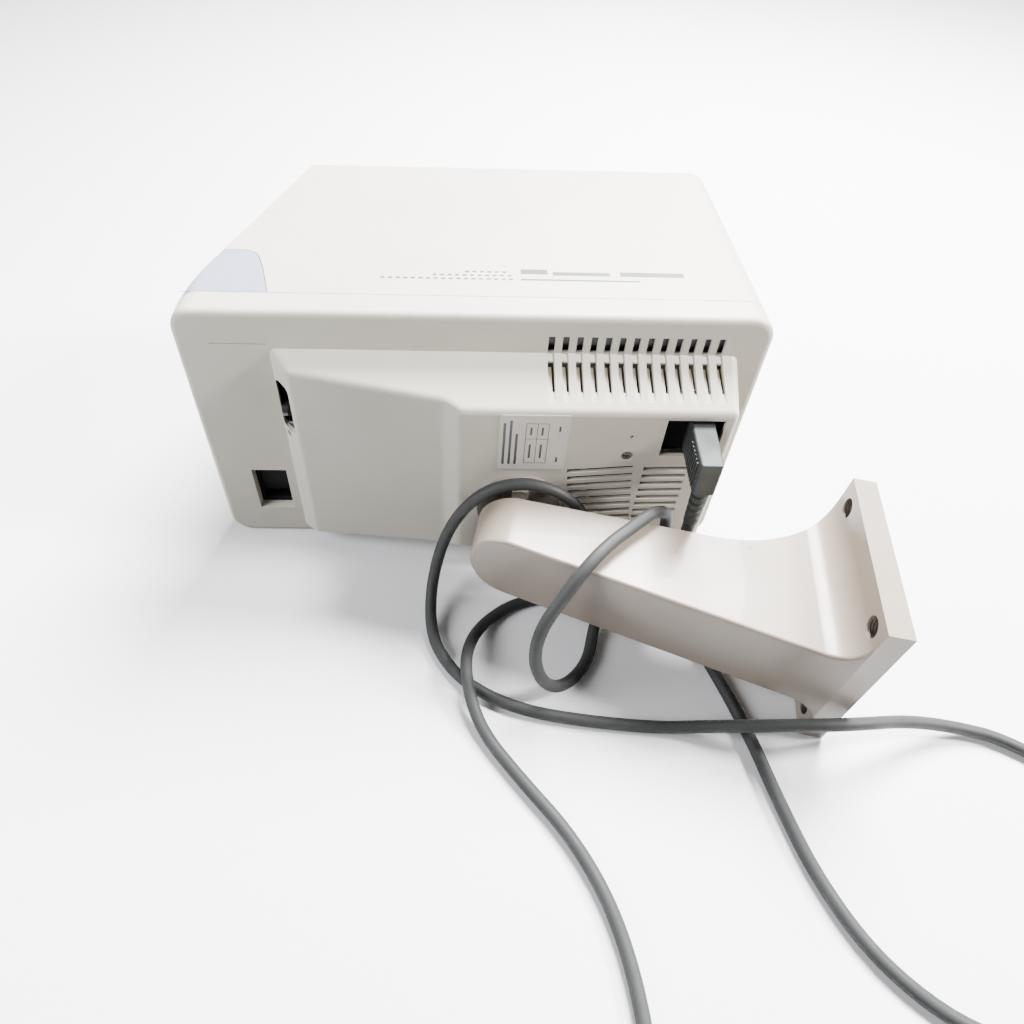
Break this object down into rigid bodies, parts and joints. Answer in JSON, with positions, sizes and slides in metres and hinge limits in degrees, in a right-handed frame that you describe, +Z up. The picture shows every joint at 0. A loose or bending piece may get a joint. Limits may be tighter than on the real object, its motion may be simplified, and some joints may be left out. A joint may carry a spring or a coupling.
{
  "type": "chart projector",
  "caption": "Box-shaped eye-test chart projector lying on its side, with a swivelling wall arm ending in a square plate and a plugged-in mains lead.",
  "frame": {"origin": "centre of the bounding box in plan, on the table the projector lies on, measured without its mains lead", "axes": "+X along the body from the window end towards the mains inlet, +Y from the underside with its arm towards the top cover, +Z up, across the width of the body"},
  "size_m": [0.53, 0.612, 0.182],
  "materials": {
    "case": "fine moulded grain",
    "fascia": "smooth grey moulding",
    "window": "clear coated pane",
    "label": "blank foil",
    "screw": "zinc plated",
    "chassis": "zinc plated sheet",
    "lamp_metal": "pressed sheet",
    "bulb": "clear quartz",
    "ceramic": "ceramic",
    "filter": "heat-absorbing glass",
    "reflector": "cold mirror",
    "optics": "polished lens",
    "disc": "matt black",
    "shaft": "ground steel",
    "motor": "black enamel",
    "black_tube": "matt black anodised",
    "lever": "black moulding",
    "black_plastic": "black moulding",
    "copper": "laminated core and varnished winding",
    "board": "glass-fibre board",
    "rocker": "black key",
    "swivel": "painted casting",
    "steel": "turned steel",
    "arm": "casting with warm white enamel",
    "cord": "grey soft vinyl",
    "plug": "grey moulded vinyl",
    "blade": "bare brass",
    "tie": "black strap"
  },
  "bodies": {
    "projector": {"bottom_case": "case", "top_cover": "case", "front_fascia": "fascia", "projection_window": "window", "rating_label": "label", "case_screws": "screw", "chassis_plate": "chassis", "lamp_house": "lamp_metal", "halogen_lamp": "bulb", "lamp_socket": "ceramic", "heat_filter": "filter", "lamp_reflector": "reflector", "condenser_lens": "optics", "chart_motor": "motor", "mask_motor": "motor", "lens_tube": "black_tube", "fan_frame": "black_plastic", "transformer": "copper", "main_board": "board", "board_posts": "shaft", "inlet_socket": "black_plastic", "inlet_pins": "blade", "switch_housing": "black_plastic", "swivel_base": "swivel", "swivel_screws": "screw", "tilt_pin": "steel", "iec_connector": "plug", "connector_relief": "plug", "power_cord": "cord", "cord_coil": "cord", "coil_tie": "tie", "cord_tail": "cord", "mains_plug_relief": "plug", "mains_plug": "plug", "plug_blades": "blade"},
    "swivel_block": {"tilt_block": "swivel", "pivot_shaft": "steel"},
    "wall_arm": {"mount_arm": "arm", "arm_lock_screw": "screw"},
    "rocker": {"switch_rocker": "rocker"},
    "focus": {"focus_ring": "black_tube", "focus_lever": "lever"},
    "lens": {"lens_barrel": "black_tube", "objective_lens": "optics"},
    "chart_disc": {"chart_wheel": "disc", "chart_shaft": "shaft"},
    "mask_disc": {"mask_wheel": "disc", "mask_shaft": "shaft"},
    "fan": {"fan_rotor": "black_plastic"}
  },
  "joints": [
    {"name": "tilt", "type": "hinge", "parent": "projector", "child": "swivel_block", "pos_m": [-0.00347, -0.05955, 0.06621], "axis": [0, 0, 1], "range_deg": [-4, 15], "deforming": ["power_cord"]},
    {"name": "pan", "type": "hinge", "parent": "swivel_block", "child": "wall_arm", "pos_m": [-0.00347, -0.05955, 0.06621], "axis": [0.1891, 0.982, 0], "range_deg": [-3, 25], "deforming": ["power_cord"]},
    {"name": "switch", "type": "hinge", "parent": "projector", "child": "rocker", "pos_m": [-0.16737, -0.00455, 0.04275], "axis": [1, 0, 0], "range_deg": [-7, 7]},
    {"name": "focus_turn", "type": "hinge", "parent": "projector", "child": "focus", "pos_m": [-0.14487, 0.02445, 0.091], "axis": [1, 0, 0], "range_deg": [-12, 6]},
    {"name": "lens_travel", "type": "slide", "parent": "projector", "child": "lens", "axis": [1, 0, 0], "range_m": [-0.004, 0.002]},
    {"name": "chart_spin", "type": "hinge", "parent": "projector", "child": "chart_disc", "pos_m": [-0.00787, 0.06045, 0.091], "axis": [1, 0, 0], "continuous": true},
    {"name": "mask_spin", "type": "hinge", "parent": "projector", "child": "mask_disc", "pos_m": [-0.04387, 0.05045, 0.091], "axis": [1, 0, 0], "continuous": true},
    {"name": "fan_spin", "type": "hinge", "parent": "projector", "child": "fan", "pos_m": [0.04813, -0.03955, 0.076], "axis": [0, 1, 0], "continuous": true}
  ],
  "couplings": [
    {"joint": "lens_travel", "follows": "focus_turn", "m_per_rad": 0.019099}
  ]
}
